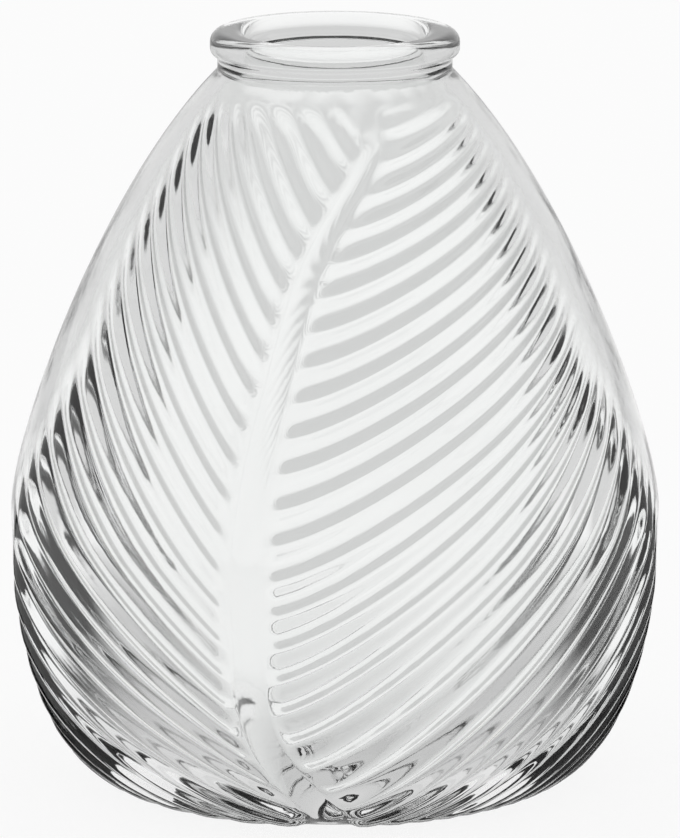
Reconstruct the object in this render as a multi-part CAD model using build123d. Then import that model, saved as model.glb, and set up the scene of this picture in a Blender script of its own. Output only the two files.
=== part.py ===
from build123d import *
import math
import os

import numpy as np

# Clear glass vase, moulded in one piece: an egg-shaped bowl with one large leaf in relief on the front
# and one on the back, a short neck and a rounded lip. The glass is divided where its form changes.
# Millimetres and degrees, +Z up, front towards -Y, origin at the centre of the resting face.

# Outer form of the bowl
HEIGHT = 185.0  # resting face to the top of the lip
BELLY_RADIUS = 79.3  # plain glass at the widest ring, under the ribs
BELLY_HEIGHT = 68.0
FOOT_RADIUS = 46.0  # outer edge of the resting ring
FOOT_REACH = 25.0  # how far the foot runs out level before it turns up
LOWER_REACH = 30.0  # how far the wall stays upright below the widest ring
UPPER_REACH = 14.5  # how far it stays upright above the widest ring
SHOULDER_REACH = 42.0  # how far the shoulder stays straight below the neck
SHOULDER_SLOPE = 45.5  # shoulder above the horizontal, where it meets the neck

# Walls
WALL = 4.2
FLOOR_THICKNESS = 9.0
FLOOR_RADIUS = 44.0  # flat part of the floor inside
KICK_UP_RADIUS = 34.0  # shallow hollow under the foot
KICK_UP_DEPTH = 2.5

# Neck and lip
NECK_RADIUS = 28.4
NECK_HEIGHT = 3.5
NECK_WALL = 3.9  # at the foot of the neck, from where the throat narrows to the bore
MOUTH_WALL = 6.9  # at the bore
BORE_LENGTH = 3.0
MOUTH_ROUNDING = 1.5  # inner edge at the top
LIP_OVERHANG = 1.8  # beyond the neck
LIP_HEIGHT = 6.0
LIP_ROUNDING = 2.2  # outer edge at the top

# Leaf. Its midrib as (degrees from the front, share of the way up the wall from foot to neck)
MIDRIB_LINE = [(-1.8, 0.083), (-12.6, 0.193), (-15.2, 0.339), (-12.3, 0.613), (-2.4, 0.808), (13.0, 0.919)]
MIDRIB_WIDTH_LOW = 8.5
MIDRIB_WIDTH_HIGH = 3.5
MIDRIB_RISE = 1.8
RIB_PITCH = 8.5  # along the midrib
RIB_RISE = 1.25
RIB_ARCH = 0.4  # most that a narrow rib rises, against half its width
RIB_GAP = 0.9  # bare glass in the valley between two ribs, and beside the midrib
LEFT_START = 2.5  # a valley on the left, where it leaves the midrib, measured up the wall from the foot
RIGHT_START = 4.5
LEFT_CLIMB = (32.0, 49.0, 67.0)  # rib angle above the horizontal, from midrib foot, widest ring and neck
RIGHT_CLIMB = (45.0, 30.6, 19.8)
LEFT_RUN_IN = 2.2  # degrees in which a rib bends up from level as it leaves the midrib
RIGHT_RUN_IN = 8.7
LEAF_FOOT = 9.0  # bare glass below the leaf, measured along the wall
LEAF_TOP = 6.0  # bare glass between the leaf and the neck
MARGIN_ANGLES = (88.5, 67.0)  # half width of the leaf, low and high on the wall
MARGIN_SHARES = (0.32, 0.62)  # shares of the way up between which it narrows

# Making of the relief
SEAT_DEPTH = 0.8  # how far a rib is begun inside the wall before it is trimmed to it
TIP_SHARE = 0.35  # size of a rib's two ends against its middle
TIP_LENGTH = 5.0  # degrees in which an end grows to full size
SHORTEST_RUN = 9.0  # degrees, below which a rib is left out
NARROWEST_RIB = 2.0  # width at which a rib ends
LONGEST_RUN = 120.0
RUN_STEP = 0.5  # degrees, to find where a rib begins and ends
STATION_STEP = 7.0  # degrees between a rib's sections
MIDRIB_STATIONS = 21
MIDRIB_TIP = 24.0  # length in which the midrib's ends grow to full size
TRACK_POINTS = 300

NECK_BASE = HEIGHT - LIP_HEIGHT - NECK_HEIGHT
LIP_BASE = HEIGHT - LIP_HEIGHT
BORE_BASE = HEIGHT - MOUTH_ROUNDING - BORE_LENGTH
SLOPE = math.radians(SHOULDER_SLOPE)
BORE_RADIUS = NECK_RADIUS - MOUTH_WALL
LIP_RADIUS = NECK_RADIUS + LIP_OVERHANG


def wall_curves(foot, foot_z, foot_reach, belly, neck, neck_z):
    """Control points of a wall's two curves: foot to widest ring, and widest ring to neck."""
    shoulder = (neck + SHOULDER_REACH * math.cos(SLOPE), neck_z - SHOULDER_REACH * math.sin(SLOPE))
    widest = (belly, BELLY_HEIGHT)
    lower = [(foot, foot_z), (foot + foot_reach, foot_z), (belly, BELLY_HEIGHT - LOWER_REACH), widest]
    upper = [widest, (belly, BELLY_HEIGHT + UPPER_REACH), shoulder, (neck, neck_z)]
    return lower, upper


def revolved(*edges):
    return revolve(Plane.XZ * make_face(Curve() + list(edges)), Axis.Z)


outer_lower, outer_upper = wall_curves(FOOT_RADIUS, 0, FOOT_REACH, BELLY_RADIUS, NECK_RADIUS, NECK_BASE)
# the inner shoulder runs parallel to the outer one, a wall's thickness inside it
throat = (NECK_RADIUS - NECK_WALL, NECK_BASE + NECK_WALL * math.tan(SLOPE) - WALL / math.cos(SLOPE))
inner_lower, inner_upper = wall_curves(
    FLOOR_RADIUS, FLOOR_THICKNESS, FOOT_REACH - WALL, BELLY_RADIUS - WALL, *throat
)


def glass_body():
    """All the plain glass, without the leaves: one profile turned about the axis."""
    under_lip = (NECK_RADIUS, LIP_BASE)
    lip_low = (LIP_RADIUS, LIP_BASE + LIP_OVERHANG)
    lip_high = (LIP_RADIUS, HEIGHT - LIP_ROUNDING)
    land_outer = (LIP_RADIUS - LIP_ROUNDING, HEIGHT)
    land_inner = (BORE_RADIUS + MOUTH_ROUNDING, HEIGHT)
    bore_top = (BORE_RADIUS, HEIGHT - MOUTH_ROUNDING)
    bore_low = (BORE_RADIUS, BORE_BASE)
    return revolved(
        TangentArc((0, KICK_UP_DEPTH), (KICK_UP_RADIUS, 0), tangent=(1, 0)),
        Line((KICK_UP_RADIUS, 0), (FOOT_RADIUS, 0)),
        Bezier(*outer_lower),
        Bezier(*outer_upper),
        Line((NECK_RADIUS, NECK_BASE), under_lip),
        TangentArc(under_lip, lip_low, tangent=(1, 0)),
        Line(lip_low, lip_high),
        TangentArc(lip_high, land_outer, tangent=(0, 1)),
        Line(land_outer, land_inner),
        TangentArc(land_inner, bore_top, tangent=(-1, 0)),
        Line(bore_top, bore_low),
        Line(bore_low, throat),
        Bezier(*inner_upper),
        Bezier(*inner_lower),
        Line((FLOOR_RADIUS, FLOOR_THICKNESS), (0, FLOOR_THICKNESS)),
        Line((0, FLOOR_THICKNESS), (0, KICK_UP_DEPTH)),
    )


def bowl_form():
    """The bowl's outside as a full solid, to which the leaves are trimmed."""
    return revolved(
        Line((0, 0), (FOOT_RADIUS, 0)),
        Bezier(*outer_lower),
        Bezier(*outer_upper),
        Line((NECK_RADIUS, NECK_BASE), (0, NECK_BASE)),
        Line((0, NECK_BASE), (0, 0)),
    )


def layer(body, low, high):
    """The part of a body between two heights."""
    if low > 0:
        body = split(body, Plane.XY.offset(low), Keep.TOP)
    if high < HEIGHT:
        body = split(body, Plane.XY.offset(high), Keep.BOTTOM)
    return body


# The outer wall as a track. Lengths run up it from the foot. Reaches are those lengths stretched by the
# widest radius over the local one, so that a line of constant climb gains reach evenly as it turns.
lower_edge, upper_edge = Bezier(*outer_lower), Bezier(*outer_upper)
marks = np.linspace(0, 1, TRACK_POINTS)
places = [lower_edge @ t for t in marks] + [upper_edge @ t for t in marks[1:]]
radii = np.array([place.X for place in places])
heights = np.array([place.Y for place in places])
steps = np.hypot(np.diff(radii), np.diff(heights))
lengths = np.concatenate([[0], np.cumsum(steps)])
reaches = np.concatenate([[0], np.cumsum(steps * BELLY_RADIUS * 2 / (radii[1:] + radii[:-1]))])
WALL_LENGTH = lengths[-1]
belly_length = lengths[TRACK_POINTS - 1]
belly_reach = reaches[TRACK_POINTS - 1]

midrib_curve = Spline(*[(angle, share * WALL_LENGTH) for angle, share in MIDRIB_LINE])
midrib_places = [midrib_curve @ t for t in marks]
midrib_angles = np.array([place.X for place in midrib_places])
midrib_lengths = np.array([place.Y for place in midrib_places])
climb_reaches = [np.interp(midrib_lengths[0], lengths, reaches), belly_reach, reaches[-1]]


def midrib_angle(length):
    return np.interp(length, midrib_lengths, midrib_angles)


def midrib_width(length):
    return MIDRIB_WIDTH_LOW + (MIDRIB_WIDTH_HIGH - MIDRIB_WIDTH_LOW) * (length / WALL_LENGTH) ** 2


def wall_frame(length, angle):
    """Point on the wall, with its outward normal."""
    radius = np.interp(length, lengths, radii)
    place = np.searchsorted(lengths, np.clip(length, lengths[1], WALL_LENGTH))
    out = (radii[place] - radii[place - 1]) / steps[place - 1]
    up = (heights[place] - heights[place - 1]) / steps[place - 1]
    turn = math.radians(angle)
    point = Vector(radius * math.sin(turn), -radius * math.cos(turn), np.interp(length, lengths, heights))
    normal = Vector(up * math.sin(turn), -up * math.cos(turn), -out)
    return point, normal


def arched_section(centre, normal, across, half, rise):
    """Section of a rib: an arch that meets the wall half to each side and is begun inside it."""
    arch_radius = (half**2 + rise**2) / (2 * rise)
    depth = min(SEAT_DEPTH, arch_radius - rise)
    foot = math.sqrt(arch_radius**2 - (arch_radius - rise - depth) ** 2)
    base = centre - normal * depth
    ends = [base - across * foot, base + across * foot]
    arch = ThreePointArc(ends[0], centre + normal * rise, ends[1])
    return make_face(Curve() + [arch, Line(ends[1], ends[0])])


def end_share(position, first, last, tip):
    """Size of a rib at a position, against its middle: it tapers in a tip's length at both ends."""
    from_end = min(position - first, last - position) / tip
    return min(1, TIP_SHARE + (1 - TIP_SHARE) * from_end)


def midrib(form):
    """The leaf's midrib, seated on the form: widest at the foot, tapering to the leaf's tip."""
    first, last = midrib_lengths[0], midrib_lengths[-1]
    sections = []
    for length in np.linspace(first, last, MIDRIB_STATIONS):
        centre, normal = wall_frame(length, midrib_angle(length))
        ahead = wall_frame(length + 1, midrib_angle(length + 1))[0]
        behind = wall_frame(length - 1, midrib_angle(length - 1))[0]
        across = (ahead - behind).cross(normal).normalized()
        size = end_share(length, first, last, MIDRIB_TIP)
        sections.append(arched_section(centre, normal, across, midrib_width(length) / 2 * size, MIDRIB_RISE * size))
    return loft(sections) - form


def valley_start(start):
    """Reach at which a valley leaves the midrib: evenly spaced in length above the widest ring, in reach below."""
    if start > belly_length:
        return np.interp(start, lengths, reaches)
    return belly_reach + start - belly_length


def valley(start, side, run):
    """Length up the wall, and angle, of the valley that leaves the midrib at start, after so many degrees."""
    climbs, run_in = (LEFT_CLIMB, LEFT_RUN_IN) if side < 0 else (RIGHT_CLIMB, RIGHT_RUN_IN)
    first_reach = valley_start(start)
    climb = np.interp(first_reach, climb_reaches, np.tan(np.radians(climbs)))
    bent_run = run - run_in * (1 - math.exp(-run / run_in))
    reach = first_reach + climb * BELLY_RADIUS * math.radians(bent_run)
    length = np.interp(reach, reaches, lengths) + min(reach, 0) * FOOT_RADIUS / BELLY_RADIUS
    return length, midrib_angle(np.interp(first_reach, reaches, lengths)) + side * run


def beside_midrib(length):
    """Degrees from the midrib's middle to a rib's tip, with the tip's width and the midrib's lean allowed for."""
    radius = np.interp(length, lengths, radii)
    lean = math.radians(midrib_angle(length + 1) - midrib_angle(length - 1)) * radius / 2
    clear = (midrib_width(length) / 2 + TIP_SHARE * RIB_PITCH / 4 + RIB_GAP) * math.hypot(1, lean)
    return math.degrees(clear / radius)


def rib_frame(start, side, run):
    """Middle of the rib above the valley at start, its normal, its direction across, and room to each side."""
    middle = start + RIB_PITCH / 2
    centre, normal = wall_frame(*valley(middle, side, run))
    behind, ahead = [wall_frame(*valley(middle, side, run + step))[0] for step in (-1, 1)]
    low, high = [wall_frame(*valley(edge, side, run))[0] for edge in (start, start + RIB_PITCH)]
    across = normal.cross(ahead - behind).normalized() * side
    room = min((centre - low).dot(across), (high - centre).dot(across)) - RIB_GAP / 2
    return centre, normal, across, room


def in_leaf(start, side, run):
    """Whether the rib above the valley at start is inside the leaf's outline there, and not too narrow."""
    length, angle = valley(start + RIB_PITCH / 2, side, run)
    margin = np.interp(length / WALL_LENGTH, MARGIN_SHARES, MARGIN_ANGLES)
    clear = side * (angle - midrib_angle(length)) > beside_midrib(length)
    if not clear or abs(angle) > margin or not LEAF_FOOT < length < WALL_LENGTH - LEAF_TOP:
        return False
    return rib_frame(start, side, run)[-1] > NARROWEST_RIB / 2


def rib_ends(start, side):
    """Degrees of run at which a rib first enters the leaf, and then leaves it."""
    inside = []
    for run in np.arange(0, LONGEST_RUN, RUN_STEP):
        if in_leaf(start, side, run):
            inside.append(run)
        elif inside:
            break
    return (inside[0], inside[-1]) if inside else (0, 0)


def rib(start, side, first, last, form):
    """One rib between the valleys at start and a pitch above it, seated on the form."""
    tip = min(TIP_LENGTH, (last - first) / 3)
    count = max(2, math.ceil((last - first - 2 * tip) / STATION_STEP) + 1)
    sections = []
    for run in [first, *np.linspace(first + tip, last - tip, count), last]:
        centre, normal, across, room = rib_frame(start, side, run)
        half = room * end_share(run, first, last, tip)
        sections.append(arched_section(centre, normal, across, half, min(RIB_RISE, half * RIB_ARCH)))
    return loft(sections) - form


def ribs(first_start, side, form):
    """All ribs on one side of the midrib, from the lowest that wraps round the foot up to the tip."""
    made = []
    most = math.ceil(WALL_LENGTH / RIB_PITCH)
    for number in range(-most, most):
        start = first_start + RIB_PITCH * number
        first, last = rib_ends(start, side)
        if last - first > SHORTEST_RUN:
            made += rib(start, side, first, last, form).solids()
    return made


glass = glass_body()
form = bowl_form()
pieces = {
    "base_disc": [layer(glass, 0, FLOOR_THICKNESS)],
    "lower_bowl": [layer(glass, FLOOR_THICKNESS, BELLY_HEIGHT)],
    "shoulder": [layer(glass, BELLY_HEIGHT, NECK_BASE)],
    "neck": [layer(glass, NECK_BASE, LIP_BASE)],
    "lip": [layer(glass, LIP_BASE, HEIGHT)],
}
leaf = {
    "midrib": midrib(form).solids(),
    "left_ribs": ribs(LEFT_START, -1, form),
    "right_ribs": ribs(RIGHT_START, 1, form),
}
for name, solids in leaf.items():
    pieces["front_" + name] = solids
    pieces["back_" + name] = [solid.rotate(Axis.Z, 180) for solid in solids]

os.makedirs("parts", exist_ok=True)
for name, solids in pieces.items():
    export_step(Compound(children=solids), f"parts/{name}.step")
    print(name, len(solids), "solids", round(sum(solid.volume for solid in solids)), "mm3")
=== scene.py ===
import math

import bmesh
import bpy
import numpy as np
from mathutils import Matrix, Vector
from mathutils.geometry import delaunay_2d_cdt


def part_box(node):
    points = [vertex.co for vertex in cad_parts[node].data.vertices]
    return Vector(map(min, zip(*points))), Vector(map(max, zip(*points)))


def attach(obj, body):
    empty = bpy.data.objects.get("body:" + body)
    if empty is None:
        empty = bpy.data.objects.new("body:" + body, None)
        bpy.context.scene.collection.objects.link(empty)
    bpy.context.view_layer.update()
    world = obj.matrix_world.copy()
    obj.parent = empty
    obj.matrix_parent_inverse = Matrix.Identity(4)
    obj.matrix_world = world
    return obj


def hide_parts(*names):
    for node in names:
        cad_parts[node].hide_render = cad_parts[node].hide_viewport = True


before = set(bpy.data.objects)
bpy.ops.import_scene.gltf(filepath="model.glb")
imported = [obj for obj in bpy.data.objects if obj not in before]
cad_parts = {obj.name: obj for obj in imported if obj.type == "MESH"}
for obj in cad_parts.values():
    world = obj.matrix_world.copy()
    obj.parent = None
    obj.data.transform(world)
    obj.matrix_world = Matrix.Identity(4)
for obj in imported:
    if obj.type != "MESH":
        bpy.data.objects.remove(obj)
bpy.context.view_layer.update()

# The camera looks down at the front leaf from a long way off, so that the outline is nearly undistorted.
# It aims a little right of the axis, because the vase is a little left of the picture's middle.
CAMERA_DISTANCE = 1.6
CAMERA_ELEVATION = math.radians(13.08)
CAMERA_TARGET = Vector((0.00122, 0.0, 0.0886))
CAMERA_LENS = 281.1
camera = bpy.data.objects.new("camera", bpy.data.cameras.new("camera"))
bpy.context.scene.collection.objects.link(camera)
from_target = Vector((0, -math.cos(CAMERA_ELEVATION), math.sin(CAMERA_ELEVATION)))
camera.location = CAMERA_TARGET + from_target * CAMERA_DISTANCE
camera.rotation_euler = (-from_target).to_track_quat("-Z", "Y").to_euler()
camera.data.sensor_width = 36.0
camera.data.lens = CAMERA_LENS
bpy.context.scene.camera = camera

# The vase's glass: one moulding of clear soda-lime glass, pressed and blown in a mould whose two halves
# each carry a leaf. The inside is smooth, the outside follows the mould, and the foot is thick.
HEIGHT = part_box("lip")[1].z
LIP_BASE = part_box("lip")[0].z
NECK_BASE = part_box("neck")[0].z
LIP_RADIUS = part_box("lip")[1].x
NECK_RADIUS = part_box("neck")[1].x
BELLY_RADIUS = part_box("lower_bowl")[1].x
FLOOR_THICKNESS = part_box("base_disc")[1].z
BELLY_HEIGHT = 0.068
FOOT_RADIUS = 0.046
FOOT_REACH = 0.025
LOWER_REACH = 0.030
UPPER_REACH = 0.0145
SHOULDER_REACH = 0.042
SHOULDER_SLOPE = math.radians(45.5)
WALL = 0.0042
FLOOR_RADIUS = 0.044
KICK_UP_RADIUS = 0.034
KICK_UP_DEPTH = 0.0025
KICK_UP_RINGS = (0.8, 0.6, 0.4, 0.2)
FLOOR_RINGS = (0.75, 0.5, 0.25)
NECK_WALL = 0.0039
BORE_RADIUS = 0.0215
BORE_LENGTH = 0.0017
MOUTH_ROUNDING = 0.0028
LIP_ROUNDING = 0.0028
WALL_STEPS = 30
ARC_STEPS = 6
FOOT_SKIP = 4
TRACK_STEPS = 300


def bezier(points, steps):
    """Points along a cubic curve with four control points."""
    t = np.linspace(0, 1, steps + 1)[:, None]
    a, b, c, d = np.array(points, float)
    return a * (1 - t) ** 3 + 3 * b * (1 - t) ** 2 * t + 3 * c * (1 - t) * t**2 + d * t**3


def arc(centre, radius, first, last):
    """Points along a circle between two angles in degrees."""
    turn = np.radians(np.linspace(first, last, ARC_STEPS + 1))
    return np.array(centre) + radius * np.column_stack([np.cos(turn), np.sin(turn)])


def wall_curves(foot, foot_z, foot_reach, belly, neck, neck_z):
    """Control points of a wall's two curves: foot to widest ring, and widest ring to neck."""
    shoulder_out = SHOULDER_REACH * math.cos(SHOULDER_SLOPE)
    shoulder_down = SHOULDER_REACH * math.sin(SHOULDER_SLOPE)
    widest = (belly, BELLY_HEIGHT)
    lower = [(foot, foot_z), (foot + foot_reach, foot_z), (belly, BELLY_HEIGHT - LOWER_REACH), widest]
    upper = [
        widest,
        (belly, BELLY_HEIGHT + UPPER_REACH),
        (neck + shoulder_out, neck_z - shoulder_down),
        (neck, neck_z),
    ]
    return lower, upper


outer_lower, outer_upper = wall_curves(FOOT_RADIUS, 0, FOOT_REACH, BELLY_RADIUS, NECK_RADIUS, NECK_BASE)
throat_radius = NECK_RADIUS - NECK_WALL
throat_height = NECK_BASE + NECK_WALL * math.tan(SHOULDER_SLOPE) - WALL / math.cos(SHOULDER_SLOPE)
inner_lower, inner_upper = wall_curves(
    FLOOR_RADIUS, FLOOR_THICKNESS, FOOT_REACH - WALL, BELLY_RADIUS - WALL, throat_radius, throat_height
)

# The outer wall as a track. Lengths run up it from the foot. Reaches are lengths stretched by the widest
# radius over the local one, so that a plane of reach against angle is a true-angled map of the wall.
track = np.vstack([bezier(outer_lower, TRACK_STEPS), bezier(outer_upper, TRACK_STEPS)[1:]])
radii, heights = track.T
steps = np.hypot(np.diff(radii), np.diff(heights))
lengths = np.concatenate([[0], np.cumsum(steps)])
reaches = np.concatenate([[0], np.cumsum(steps * BELLY_RADIUS * 2 / (radii[1:] + radii[:-1]))])
wall_length = lengths[-1]
belly_length = lengths[TRACK_STEPS]
belly_reach = reaches[TRACK_STEPS]

# The leaf, pressed into the hot glass by the mould. Its midrib is given as degrees from the front and share
# of the way up the wall. Its ribs leave the midrib a pitch apart and climb to both sides, bending up from
# level. The back's relief is a share of the front's, so that it shows only faintly through the glass.
MIDRIB_LINE = [(-1.8, 0.083), (-12.6, 0.193), (-15.2, 0.339), (-12.3, 0.613), (-2.4, 0.808), (13.0, 0.919)]
MIDRIB_WIDTH_LOW = 0.0085
MIDRIB_WIDTH_HIGH = 0.0035
MIDRIB_RISE = 0.0014
RIB_PITCH = 0.0085
RIB_RISE = 0.0019
RIB_ARCH = 0.6
RIB_ROUNDING = 0.8
MIDRIB_ROUNDING = 0.4
BACK_SHARE = 0.12
LEFT_START = 0.0025
RIGHT_START = 0.0045
LEFT_CLIMB = (32.0, 49.0, 67.0)
RIGHT_CLIMB = (45.0, 30.6, 19.8)
LEFT_RUN_IN = 2.2
RIGHT_RUN_IN = 8.7
LEAF_FOOT = (0.006, 0.013)
LEAF_TOP = (0.189, 0.199)
TOP_RISE = 0.8
TOP_SHARES = (0.6, 0.85)
TRIAL_SHARE = 0.1
LEAN_STEP = 0.001
MARGIN_ANGLES = (88.5, 67.0)
MARGIN_SHARES = (0.32, 0.62)
LEFT_MARGIN_FADE = 14.0
RIGHT_MARGIN_FADE = 16.0
MIDRIB_FADE = 0.004
SHEET_FOOT = 0.004
SEAM_ANGLE = 90.0
SEAM_CLEAR = 1.2
ROW_CLEAR = 0.0007
NARROWEST_RIB = 0.0018
WIDE_RIB = 0.0035
RIB_ROWS = 14
RUN_STEP = 1.9
LONGEST_RUN = 120.0
RING_STEP = 2.0
MIDRIB_ROWS = 16
MIDRIB_STEP = 0.0016
MIDRIB_FOOT_FADE = 0.008
MIDRIB_TIP_FADE = (-0.014, 0.006)
SEAM_STEPS = 160
SAME_POINT = 1e-7

midrib_turns = np.array([angle for angle, share in MIDRIB_LINE])
midrib_marks = np.array([share for angle, share in MIDRIB_LINE]) * wall_length


def midrib_angle(length):
    """Degrees of the midrib's middle at a length up the wall: a smooth curve through its given points."""
    slopes = np.gradient(midrib_turns, midrib_marks)
    place = np.clip(np.asarray(length, float), midrib_marks[0], midrib_marks[-1])
    k = np.clip(np.searchsorted(midrib_marks, place) - 1, 0, len(midrib_marks) - 2)
    gap = midrib_marks[k + 1] - midrib_marks[k]
    t = (place - midrib_marks[k]) / gap
    rise = midrib_turns[k] * (1 + 2 * t) * (1 - t) ** 2 + midrib_turns[k + 1] * t**2 * (3 - 2 * t)
    return rise + gap * (slopes[k] * t * (1 - t) ** 2 - slopes[k + 1] * t**2 * (1 - t))


def midrib_half(length):
    """Half the midrib's width, measured in degrees round the vase."""
    width = MIDRIB_WIDTH_LOW + (MIDRIB_WIDTH_HIGH - MIDRIB_WIDTH_LOW) * (length / wall_length) ** 2
    radius = np.interp(length, lengths, radii)
    turn = midrib_angle(length + LEAN_STEP) - midrib_angle(length - LEAN_STEP)
    lean = np.radians(turn) * radius / (2 * LEAN_STEP)
    return np.degrees(width / 2 * np.hypot(1, lean) / radius)


def valley(start, side, run):
    """Reach and angle of the valley that leaves the midrib at start, after so many degrees of run."""
    climbs, run_in = (LEFT_CLIMB, LEFT_RUN_IN) if side < 0 else (RIGHT_CLIMB, RIGHT_RUN_IN)
    first = np.interp(start, lengths, reaches) if start > belly_length else belly_reach + start - belly_length
    foot_reach = np.interp(midrib_marks[0], lengths, reaches)
    climb = np.interp(first, (foot_reach, belly_reach, reaches[-1]), np.tan(np.radians(climbs)))
    bent_run = run - run_in * (1 - np.exp(-run / run_in))
    reach = first + climb * BELLY_RADIUS * np.radians(bent_run)
    return reach, midrib_angle(np.interp(first, reaches, lengths)) + side * run


def fade(value, low, high):
    """0 below low, 1 above high, and smooth between."""
    t = np.clip((value - low) / (high - low), 0, 1)
    return t * t * (3 - 2 * t)


map_points, relief_rows, chains = [], [], []


def add_chain(angle, reach, rib_place=0.0, rib_size=0.0, midrib_place=0.0, midrib_size=0.0):
    """A chain of points on the leaf's map, each with its place across a rib or the midrib and its size there."""
    first = len(map_points)
    map_points.extend(zip(BELLY_RADIUS * np.radians(angle), reach))
    columns = np.broadcast_arrays(rib_place, rib_size, midrib_place, midrib_size, angle)
    relief_rows.extend(np.column_stack(columns[:4]))
    chains.extend((first + k, first + k + 1) for k in range(len(angle) - 1))


def add_rib_row(start, share, side):
    """One line of points along a rib, at a share of the way from its lower valley to its upper one."""
    run = np.arange(0, LONGEST_RUN, RUN_STEP)
    reach, angle = valley(start, side, run)
    length = np.interp(reach, reaches, lengths)
    from_midrib = side * (angle - midrib_angle(length)) - midrib_half(length)
    gap = np.radians(from_midrib) * np.interp(length, lengths, radii)
    next_reach, next_angle = valley(start + RIB_PITCH * TRIAL_SHARE, side, run)
    along = np.column_stack([BELLY_RADIUS * np.radians(np.gradient(angle)), np.gradient(reach)])
    across = np.column_stack([BELLY_RADIUS * np.radians(next_angle - angle), next_reach - reach]) / TRIAL_SHARE
    room = side * (along[:, 0] * across[:, 1] - along[:, 1] * across[:, 0]) / np.hypot(*along.T)
    room *= np.interp(length, lengths, radii) / BELLY_RADIUS
    clear = (gap > ROW_CLEAR) & (room > NARROWEST_RIB) & (np.abs(angle) < SEAM_ANGLE - SEAM_CLEAR)
    clear &= (length > SHEET_FOOT + ROW_CLEAR) & (length < wall_length - ROW_CLEAR)
    if clear.sum() < 2:
        return
    margin = np.interp(length / wall_length, MARGIN_SHARES, MARGIN_ANGLES)
    margin_fade = LEFT_MARGIN_FADE if side < 0 else RIGHT_MARGIN_FADE
    size = np.minimum(RIB_RISE, room / 2 * RIB_ARCH)
    size *= np.interp(length / wall_length, TOP_SHARES, (1, TOP_RISE))
    size *= fade(room, NARROWEST_RIB, WIDE_RIB) * fade(gap, 0, MIDRIB_FADE)
    size *= fade(margin - np.abs(angle), 0, margin_fade)
    size *= fade(length, *LEAF_FOOT) * fade(-length, -LEAF_TOP[1], -LEAF_TOP[0])
    inside = np.flatnonzero(clear)
    for stretch in np.split(inside, np.flatnonzero(np.diff(inside) > 1) + 1):
        add_chain(angle[stretch], reach[stretch], 2 * share - 1, size[stretch] / RIB_RISE)


# Rows of points along every rib, then along the midrib, then round the sheet's edge.
rib_count = math.ceil(wall_length / RIB_PITCH)
for first_start, side in ((LEFT_START, -1), (RIGHT_START, 1)):
    for number in range(-rib_count, rib_count):
        for share in np.arange(RIB_ROWS) / RIB_ROWS:
            add_rib_row(first_start + RIB_PITCH * (number + share), share, side)

foot_ring_reach = np.interp(SHEET_FOOT, lengths, reaches)
midrib_reach = np.arange(foot_ring_reach + MIDRIB_STEP, reaches[-1], MIDRIB_STEP)
midrib_length = np.interp(midrib_reach, reaches, lengths)
midrib_fade = fade(midrib_length, midrib_marks[0] - MIDRIB_FOOT_FADE, midrib_marks[0])
midrib_fade *= 1 - fade(midrib_length - midrib_marks[-1], *MIDRIB_TIP_FADE)
for share in np.linspace(-1, 1, MIDRIB_ROWS + 1):
    turn = midrib_angle(midrib_length) + share * midrib_half(midrib_length)
    add_chain(turn, midrib_reach, midrib_place=share, midrib_size=midrib_fade)

ring_angles = np.arange(-SEAM_ANGLE, SEAM_ANGLE + RING_STEP / 2, RING_STEP)
seam_reach = np.linspace(foot_ring_reach, reaches[-1], SEAM_STEPS)
for ring_reach in (foot_ring_reach, reaches[-1]):
    add_chain(ring_angles, np.full(len(ring_angles), ring_reach))
for seam in (-SEAM_ANGLE, SEAM_ANGLE):
    add_chain(np.full(len(seam_reach) - 2, seam), seam_reach[1:-1])

# The map is filled with triangles and rolled onto the wall.
flat_points = [Vector(point) for point in map_points]
corners, _, sheet_faces, sources, _, _ = delaunay_2d_cdt(flat_points, chains, [], 0, SAME_POINT, True)
rows = np.array([relief_rows[source[0]] if source else np.zeros(4) for source in sources])
corners = np.array(corners)
turn = corners[:, 0] / BELLY_RADIUS
length = np.interp(corners[:, 1], reaches, lengths)
radius = np.interp(length, lengths, radii)
height = np.interp(length, lengths, heights)
sheet_data = bpy.data.meshes.new("leaf_sheet")
sheet_places = np.column_stack([radius * np.sin(turn), -radius * np.cos(turn), height])
sheet_data.from_pydata(sheet_places, [], sheet_faces)
for name, column in zip(("rib_place", "rib_size", "midrib_place", "midrib_size"), rows.T):
    sheet_data.attributes.new(name, "FLOAT", "POINT").data.foreach_set("value", column)
for polygon in sheet_data.polygons:
    polygon.use_smooth = True
vase_glass = bpy.data.objects.new("vase_glass", sheet_data)
bpy.context.scene.collection.objects.link(vase_glass)

# The plain glass: neck, lip, inside and floor above the sheet, and the foot with its hollow below it.
lip_step = LIP_RADIUS - NECK_RADIUS
land_radii = np.linspace(LIP_RADIUS - LIP_ROUNDING, BORE_RADIUS + MOUTH_ROUNDING, ARC_STEPS)
above_neck = np.vstack([
    [(NECK_RADIUS, NECK_BASE), (NECK_RADIUS, (NECK_BASE + LIP_BASE) / 2), (NECK_RADIUS, LIP_BASE)],
    arc((NECK_RADIUS, LIP_BASE + lip_step), lip_step, -90, 0)[1:],
    arc((LIP_RADIUS - LIP_ROUNDING, HEIGHT - LIP_ROUNDING), LIP_ROUNDING, 0, 90),
    [(land_radius, HEIGHT) for land_radius in land_radii[1:-1]],
    arc((BORE_RADIUS + MOUTH_ROUNDING, HEIGHT - MOUTH_ROUNDING), MOUTH_ROUNDING, 90, 180),
    [(BORE_RADIUS, HEIGHT - MOUTH_ROUNDING - BORE_LENGTH)],
    bezier(inner_upper, WALL_STEPS)[::-1],
    bezier(inner_lower, WALL_STEPS)[::-1][1:],
    [(FLOOR_RADIUS * share, FLOOR_THICKNESS) for share in FLOOR_RINGS],
])
foot_curve = bezier(outer_lower, TRACK_STEPS)
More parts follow.
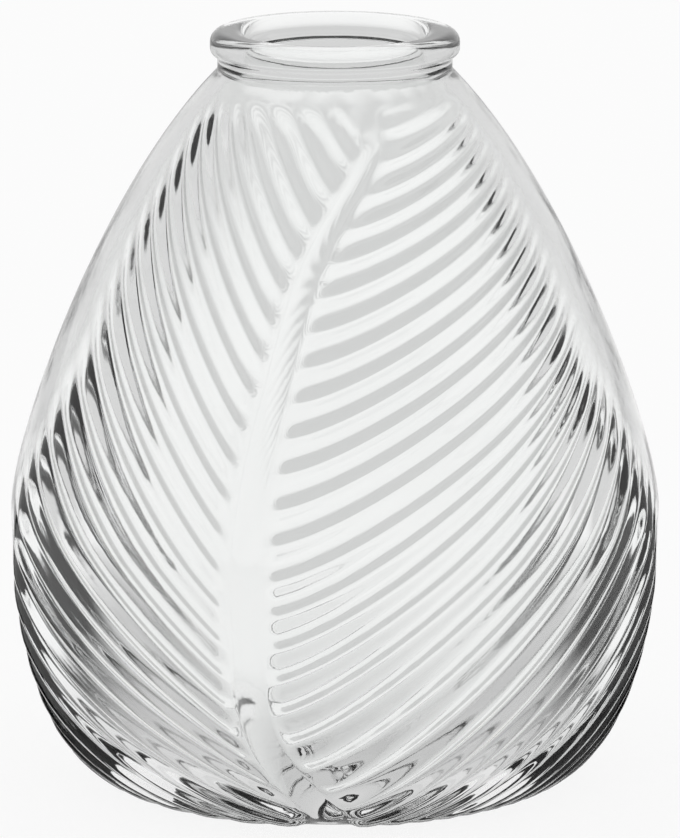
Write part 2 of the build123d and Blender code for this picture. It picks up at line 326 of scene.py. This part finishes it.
foot_curve = foot_curve[lengths[:TRACK_STEPS + 1] < SHEET_FOOT]
below_sheet = np.vstack([
    [(np.interp(SHEET_FOOT, lengths, radii), np.interp(SHEET_FOOT, lengths, heights))],
    foot_curve[::-1][::FOOT_SKIP],
    [(FOOT_RADIUS, 0), (KICK_UP_RADIUS, 0)],
    [(KICK_UP_RADIUS * share, KICK_UP_DEPTH * (1 - share**2)) for share in KICK_UP_RINGS],
])


def turned(mesh, profile, pole_height):
    """A profile turned about the axis, closed by a fan at a pole."""
    angles = np.radians(np.arange(-180, 180, RING_STEP))
    rings = []
    for ring_radius, ring_height in profile:
        places = zip(ring_radius * np.sin(angles), -ring_radius * np.cos(angles))
        rings.append([mesh.verts.new((x, y, ring_height)) for x, y in places])
    for low, high in zip(rings, rings[1:]):
        for k in range(len(angles)):
            mesh.faces.new((low[k - 1], low[k], high[k], high[k - 1]))
    pole = mesh.verts.new((0, 0, pole_height))
    for k in range(len(angles)):
        mesh.faces.new((rings[-1][k - 1], rings[-1][k], pole))


plain_mesh = bmesh.new()
turned(plain_mesh, above_neck, FLOOR_THICKNESS)
turned(plain_mesh, below_sheet, KICK_UP_DEPTH)
plain_data = bpy.data.meshes.new("plain_glass")
plain_mesh.to_mesh(plain_data)
plain_mesh.free()
plain_glass = bpy.data.objects.new("plain_glass", plain_data)


class Field:
    """A shader socket that can be used in sums: an operator on it adds a Math node."""

    def __init__(self, tree, socket):
        self.tree = tree
        self.socket = socket

    def node(self, kind, settings=None, output=0, **inputs):
        """Adds a node, with its settings first and then its inputs, and gives one of its outputs."""
        made = self.tree.nodes.new(kind)
        for name, value in (settings or {}).items():
            setattr(made, name, value)
        for name, value in inputs.items():
            target = made.inputs[int(name[1:])] if name[0] == "_" else made.inputs[name.replace("_", " ")]
            if isinstance(value, Field):
                self.tree.links.new(value.socket, target)
            else:
                target.default_value = value
        return Field(self.tree, made.outputs[output])

    def math(self, operation, first, second=0.0):
        """Adds a Math node for an operation that has no operator."""
        return self.node("ShaderNodeMath", {"operation": operation}, _0=first, _1=second)

    def __add__(self, other):
        return self.math("ADD", self, other)

    def __radd__(self, other):
        return self.math("ADD", other, self)

    def __sub__(self, other):
        return self.math("SUBTRACT", self, other)

    def __rsub__(self, other):
        return self.math("SUBTRACT", other, self)

    def __mul__(self, other):
        return self.math("MULTIPLY", self, other)

    def __rmul__(self, other):
        return self.math("MULTIPLY", other, self)

    def __truediv__(self, other):
        return self.math("DIVIDE", self, other)

    def to(self, node, name):
        """Links this socket to a named input of a node."""
        self.tree.links.new(self.socket, node.inputs[name])


# Clear glass as it leaves the mould: faintly uneven in tint, in polish and in surface.
GLASS_BEND = 1.5
RIPPLE_SCALE = 55.0
MIST_SCALE = 240.0
SEED_SCALE = 190.0
LEAST_ROUGHNESS = 0.03
MIST_ROUGHNESS = 0.05
GREENER_TINT = (0.965, 0.975, 0.97, 1)
CLEARER_TINT = (0.985, 0.988, 0.985, 1)
WAVE_STRENGTH = 0.12
WAVE_HEIGHT = 0.002
SEED_SHARE = 0.12
glass = bpy.data.materials.new("clear_glass")
glass.use_nodes = True
shader = glass.node_tree.nodes["Principled BSDF"]
shader.inputs["Transmission Weight"].default_value = 1.0
shader.inputs["IOR"].default_value = GLASS_BEND
places = Field(glass.node_tree, glass.node_tree.nodes.new("ShaderNodeTexCoord").outputs["Object"])
ripple = places.node("ShaderNodeTexNoise", Vector=places, Scale=RIPPLE_SCALE, Detail=1.0)
mist = places.node("ShaderNodeTexNoise", Vector=places, Scale=MIST_SCALE, Detail=3.0)
(LEAST_ROUGHNESS + MIST_ROUGHNESS * mist).to(shader, "Roughness")
colours = {"data_type": "RGBA"}
tint = places.node("ShaderNodeMix", colours, output=2, _0=ripple, _6=GREENER_TINT, _7=CLEARER_TINT)
tint.to(shader, "Base Color")
seed = places.node("ShaderNodeTexNoise", Vector=places, Scale=SEED_SCALE, Detail=2.0)
uneven = ripple + SEED_SHARE * seed
wave = places.node("ShaderNodeBump", Strength=WAVE_STRENGTH, Distance=WAVE_HEIGHT, Height=uneven)
wave.to(shader, "Normal")

# Geometry Nodes raise the ribs and the midrib out of the sheet, turn a second leaf to the back, and join the
# two to the plain glass of the neck, the inside and the foot.
BACK_TURN = (0, 0, math.pi)
WELD = 1e-6
relief = bpy.data.node_groups.new("leaf_relief", "GeometryNodeTree")
relief.interface.new_socket(name="Geometry", in_out="OUTPUT", socket_type="NodeSocketGeometry")
settings = {}
for name, kind, value in (
    ("Leaf Sheet", "Geometry", None),
    ("Plain Glass", "Object", plain_glass),
    ("Rib Rise", "Float", RIB_RISE),
    ("Rib Rounding", "Float", RIB_ROUNDING),
    ("Midrib Rise", "Float", MIDRIB_RISE),
    ("Midrib Rounding", "Float", MIDRIB_ROUNDING),
    ("Back Share", "Float", BACK_SHARE),
    ("Leaf Spacing", "Vector", BACK_TURN),
    ("Weld", "Float", WELD),
    ("Material", "Material", glass),
):
    socket = relief.interface.new_socket(name=name, in_out="INPUT", socket_type="NodeSocket" + kind)
    settings[socket.identifier] = value
entry = relief.nodes.new("NodeGroupInput")
given = {socket.name: Field(relief, socket) for socket in entry.outputs if socket.name}
sheet = given["Leaf Sheet"]


def stored(name):
    """A value that every point of the sheet carries."""
    return sheet.node("GeometryNodeInputNamedAttribute", {"data_type": "FLOAT"}, Name=name)


def crest(name, rounding):
    """Height across a rib whose place runs from -1 to 1: full in the middle, nothing at the two valleys."""
    arch = 0.5 + 0.5 * sheet.math("COSINE", math.pi * stored(name))
    return sheet.math("POWER", arch, rounding)


rib = given["Rib Rise"] * stored("rib_size") * crest("rib_place", given["Rib Rounding"])
midrib = given["Midrib Rise"] * stored("midrib_size") * crest("midrib_place", given["Midrib Rounding"])
outward = sheet.node("GeometryNodeInputNormal")
lift = sheet.node("ShaderNodeVectorMath", {"operation": "SCALE"}, _0=outward, Scale=rib + midrib)
front = sheet.node("GeometryNodeSetPosition", Geometry=sheet, Offset=lift)
lower = sheet.node("ShaderNodeVectorMath", {"operation": "SCALE"}, _0=lift, Scale=given["Back Share"])
back = sheet.node("GeometryNodeSetPosition", Geometry=sheet, Offset=lower)
back = sheet.node("GeometryNodeGeometryToInstance", Geometry=back)
back = sheet.node("GeometryNodeRotateInstances", Instances=back, Rotation=given["Leaf Spacing"])
plain = sheet.node("GeometryNodeObjectInfo", output="Geometry", Object=given["Plain Glass"])
joined = sheet.node("GeometryNodeJoinGeometry", Geometry=front)
for other in (back, plain):
    other.to(joined.socket.node, "Geometry")
whole = sheet.node("GeometryNodeRealizeInstances", Geometry=joined)
whole = sheet.node("GeometryNodeMergeByDistance", Geometry=whole, Distance=given["Weld"])
whole = sheet.node("GeometryNodeSetShadeSmooth", Geometry=whole)
whole = sheet.node("GeometryNodeSetMaterial", Geometry=whole, Material=given["Material"])
whole.to(relief.nodes.new("NodeGroupOutput"), "Geometry")
modifier = vase_glass.modifiers.new("leaf_relief", "NODES")
modifier.node_group = relief
for identifier, value in settings.items():
    if value is not None:
        modifier[identifier] = value
sheet_data.materials.append(glass)
plain_data.materials.append(glass)
evaluated = vase_glass.evaluated_get(bpy.context.evaluated_depsgraph_get())
glass_data = bpy.data.meshes.new_from_object(evaluated)
vase_glass.modifiers.remove(modifier)
vase_glass.data = glass_data
closed = bmesh.new()
closed.from_mesh(glass_data)
bmesh.ops.recalc_face_normals(closed, faces=closed.faces)
closed.to_mesh(glass_data)
closed.free()
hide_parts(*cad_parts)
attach(vase_glass, "root")

# The floor is a plain white sweep that keeps the vase's faint shadow. The rays that the glass bends or reflects
# see it
# painted with shade: greyer in front and far behind, and a painted dark strip on each side, which draws the dark
# streaks in its ribs.
FLOOR_SIDE = 6.0
SHADOW_SHARE = 0.12
NEAR_LEVEL = 0.95
FAR_LEVEL = 0.66
SWEEP_NEAR = 0.3
SWEEP_FAR = 1.2
FRONT_SHADE = 0.5
FRONT_NEAR = 0.06
FRONT_FAR = -0.11
STRIP_OUT = 0.145
STRIP_SLANT = 0.913
STRIP_HALF = 0.04
STRIP_EDGE = 0.008
STRIP_GROWTH = 0.3
STRIP_GROWS_FROM = 0.14
STRIP_FRONT = (-0.06, 0.0)
STRIP_END = (0.5, 0.9)
# Level of the painted dark strip, a painted shade that only the glass sees.
PAINTED_STRIP_LEVEL = 0.03
PAPER_COLOUR = (0.9, 0.9, 0.9, 1)
PAPER_ROUGHNESS = 0.9
floor_data = bpy.data.meshes.new("floor")
sides = (-FLOOR_SIDE, FLOOR_SIDE)
floor_data.from_pydata([(x, y, 0) for x in sides for y in sides], [], [(0, 2, 3, 1)])
floor = bpy.data.objects.new("floor", floor_data)
bpy.context.scene.collection.objects.link(floor)
paper = bpy.data.materials.new("paper_with_painted_shade")
paper.use_nodes = True
paper_tree = paper.node_tree
paper_shader = paper_tree.nodes["Principled BSDF"]
paper_shader.inputs["Base Color"].default_value = PAPER_COLOUR
paper_shader.inputs["Roughness"].default_value = PAPER_ROUGHNESS
glow = paper_tree.nodes.new("ShaderNodeEmission")
blend = paper_tree.nodes.new("ShaderNodeMixShader")
light_path = paper_tree.nodes.new("ShaderNodeLightPath")
by_camera = Field(paper_tree, light_path.outputs["Is Camera Ray"])
by_glass = Field(paper_tree, light_path.outputs["Is Glossy Ray"])
by_glass = by_glass.math("MAXIMUM", by_glass, Field(paper_tree, light_path.outputs["Is Transmission Ray"]))


def ramp(value, low, high):
    """0 below low, 1 above high, and smooth between."""
    smooth = {"interpolation_type": "SMOOTHSTEP"}
    return value.node("ShaderNodeMapRange", smooth, Value=value, From_Min=low, From_Max=high)


place = Field(paper_tree, paper_tree.nodes.new("ShaderNodeTexCoord").outputs["Object"])
beside = place.node("ShaderNodeSeparateXYZ", output=0, Vector=place)
beside = beside.math("ABSOLUTE", beside)
behind = place.node("ShaderNodeSeparateXYZ", output=1, Vector=place)
away = place.node("ShaderNodeVectorMath", {"operation": "LENGTH"}, output=1, _0=place)
# Painted shade on the floor, seen only through and in the glass: greyer far off, and greyer in front of the
# vase.
painted_shade_level = NEAR_LEVEL + ramp(away, SWEEP_NEAR, SWEEP_FAR) * (FAR_LEVEL - NEAR_LEVEL)
painted_shade_level = painted_shade_level * (1.0 - FRONT_SHADE * (1.0 - ramp(behind, FRONT_FAR, FRONT_NEAR)))
# A painted dark strip on each side of the vase, seen only by the glass, in place of the shade that draws its
# streaks.
half = STRIP_HALF + STRIP_GROWTH * beside.math("MAXIMUM", beside - STRIP_GROWS_FROM, 0.0)
off_middle = (beside - STRIP_SLANT * behind - STRIP_OUT) / math.hypot(1, STRIP_SLANT)
off_middle = off_middle.math("ABSOLUTE", off_middle)
painted_dark_strip = 1.0 - ramp(off_middle, half - STRIP_EDGE, half + STRIP_EDGE)
painted_dark_strip = painted_dark_strip * ramp(behind, *STRIP_FRONT) * (1.0 - ramp(beside, *STRIP_END))
painted_shade_level = painted_shade_level + painted_dark_strip * (PAINTED_STRIP_LEVEL - painted_shade_level)
# Camera rays see the floor white; rays from the glass see the painted shade as a glow at its level.
(by_camera + (1.0 - by_camera) * painted_shade_level).to(glow, "Strength")
(by_camera * (1.0 - SHADOW_SHARE) + by_glass).to(blend, "Fac")
paper_tree.links.new(paper_shader.outputs["BSDF"], blend.inputs[1])
paper_tree.links.new(glow.outputs["Emission"], blend.inputs[2])
paper_tree.links.new(blend.outputs["Shader"], paper_tree.nodes["Material Output"].inputs["Surface"])
floor_data.materials.append(paper)

# The light is a white ceiling over a greyer room, without lamps. Only rays bent by the glass see the grey:
# the camera and reflections see the room white.
ROOM_LEVEL = 0.68
CEILING_LEVEL = 0.85
CEILING_FROM = 0.3
CEILING_TO = 0.8
world = bpy.data.worlds.new("studio")
bpy.context.scene.world = world
world.use_nodes = True
sky_tree = world.node_tree
direction = Field(sky_tree, sky_tree.nodes.new("ShaderNodeTexCoord").outputs["Generated"])
climb = direction.node("ShaderNodeSeparateXYZ", output=2, Vector=direction)
sky = ROOM_LEVEL + ramp(climb, CEILING_FROM, CEILING_TO) * (CEILING_LEVEL - ROOM_LEVEL)
sky_path = sky_tree.nodes.new("ShaderNodeLightPath")
sky_seen = Field(sky_tree, sky_path.outputs["Is Camera Ray"])
mirrored = Field(sky_tree, sky_path.outputs["Is Glossy Ray"])
bent = Field(sky_tree, sky_path.outputs["Is Transmission Ray"])
white = sky_seen + mirrored - mirrored * bent
background = sky_tree.nodes["Background"]
background.inputs["Color"].default_value = (1, 1, 1, 1)
(white + (1.0 - white) * sky).to(background, "Strength")

bpy.context.scene.view_settings.view_transform = "Standard"
